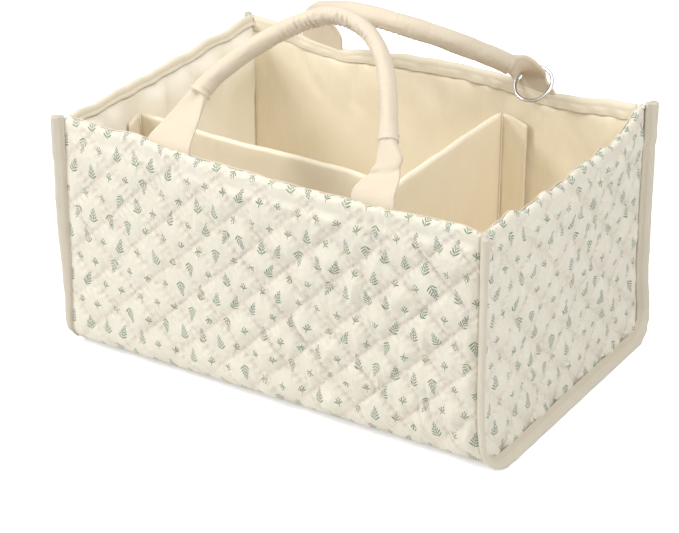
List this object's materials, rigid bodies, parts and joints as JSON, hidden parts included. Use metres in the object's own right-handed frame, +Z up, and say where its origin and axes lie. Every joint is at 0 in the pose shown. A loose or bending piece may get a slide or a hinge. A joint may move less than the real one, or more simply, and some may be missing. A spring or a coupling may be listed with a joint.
{
  "type": "diaper caddy",
  "caption": "Open quilted cloth caddy with stiffened walls, bound ends, padded loop handles that swing on the rim, a steel ring on one handle foot and a lift-out divider with hook flaps.",
  "frame": {"origin": "middle of the flat base, on the surface the caddy stands on", "axes": "+X along the length, towards the end on the viewer's right; +Y to the back; +Z up"},
  "size_m": [0.3732, 0.2614, 0.2848],
  "materials": {
    "quilted_cotton": "printed cotton quilted in diamonds over thin wadding",
    "lining_cotton": "plain cream woven cotton",
    "binding_tape": "cream cotton bias tape, folded and stitched",
    "handle_cloth": "cream cotton, gathered round padding",
    "handle_core": "soft cotton cord",
    "fastener_tape": "hook and loop tape",
    "stiffener_board": "thin bag board",
    "ring_steel": "polished steel wire"
  },
  "bodies": {
    "caddy": {"wrap_outer_panel": "quilted_cotton", "left_outer_panel": "quilted_cotton", "right_outer_panel": "quilted_cotton", "front_stiffener": "stiffener_board", "back_stiffener": "stiffener_board", "left_stiffener": "stiffener_board", "right_stiffener": "stiffener_board", "base_stiffener": "stiffener_board", "wrap_lining": "lining_cotton", "left_lining": "lining_cotton", "right_lining": "lining_cotton", "front_top_hem": "quilted_cotton", "back_top_hem": "quilted_cotton", "left_top_hem": "quilted_cotton", "right_top_hem": "quilted_cotton", "left_edge_binding": "binding_tape", "right_edge_binding": "binding_tape", "front_left_handle_anchor": "handle_cloth", "front_right_handle_anchor": "handle_cloth", "back_left_handle_anchor": "handle_cloth", "back_right_handle_anchor": "handle_cloth", "back_loop_tape": "fastener_tape", "front_loop_tape": "fastener_tape", "left_loop_tape": "fastener_tape"},
    "front_handle": {"front_handle_left_strap": "handle_cloth", "front_handle_right_strap": "handle_cloth", "front_handle_sleeve": "handle_cloth", "front_handle_core": "handle_core"},
    "rear_handle": {"rear_handle_left_strap": "handle_cloth", "rear_handle_right_strap": "handle_cloth", "rear_handle_sleeve": "handle_cloth", "rear_handle_core": "handle_core"},
    "ring": {"ring": "ring_steel"},
    "insert": {"cross_divider_cover": "lining_cotton", "cross_divider_board": "stiffener_board"},
    "long_divider": {"long_divider_cover": "lining_cotton", "long_divider_board": "stiffener_board"},
    "left_flap": {"left_flap": "lining_cotton", "left_hook_tape": "fastener_tape"},
    "back_flap": {"back_flap": "lining_cotton", "back_hook_tape": "fastener_tape"},
    "front_flap": {"front_flap": "lining_cotton", "front_hook_tape": "fastener_tape"}
  },
  "joints": [
    {"name": "front_handle_swing", "type": "hinge", "parent": "caddy", "child": "front_handle", "pos_m": [0, -0.12234, 0.19126], "axis": [1, 0, 0], "range_deg": [0, 160]},
    {"name": "rear_handle_swing", "type": "hinge", "parent": "caddy", "child": "rear_handle", "pos_m": [0, 0.12217, 0.18813], "axis": [-1, 0, 0], "range_deg": [0, 142]},
    {"name": "ring_flip", "type": "hinge", "parent": "caddy", "child": "ring", "pos_m": [0.082, 0.12217, 0.18813], "axis": [-1, 0, 0], "range_deg": [0, 66]},
    {"name": "insert_lift", "type": "slide", "parent": "caddy", "child": "insert", "axis": [0, 0, 1], "range_m": [0, 0.012]},
    {"name": "long_divider_swing", "type": "hinge", "parent": "insert", "child": "long_divider", "pos_m": [0.0542, -0.0355, 0.08], "axis": [0, 0, -1], "range_deg": [0, 38]},
    {"name": "left_flap_peel", "type": "hinge", "parent": "long_divider", "child": "left_flap", "pos_m": [-0.1612, -0.0408, 0], "axis": [-0.0239, 0, 0.9997], "range_deg": [0, 80]},
    {"name": "back_flap_peel", "type": "hinge", "parent": "insert", "child": "back_flap", "pos_m": [0.0598, 0.1122, 0], "axis": [0, -0.0182, -0.9998], "range_deg": [0, 80]},
    {"name": "front_flap_peel", "type": "hinge", "parent": "insert", "child": "front_flap", "pos_m": [0.0542, -0.1122, 0], "axis": [0, 0.0184, -0.9998], "range_deg": [0, 80]}
  ],
  "couplings": [
    {"joint": "ring_flip", "follows": "rear_handle_swing", "ratio": 0.46}
  ]
}
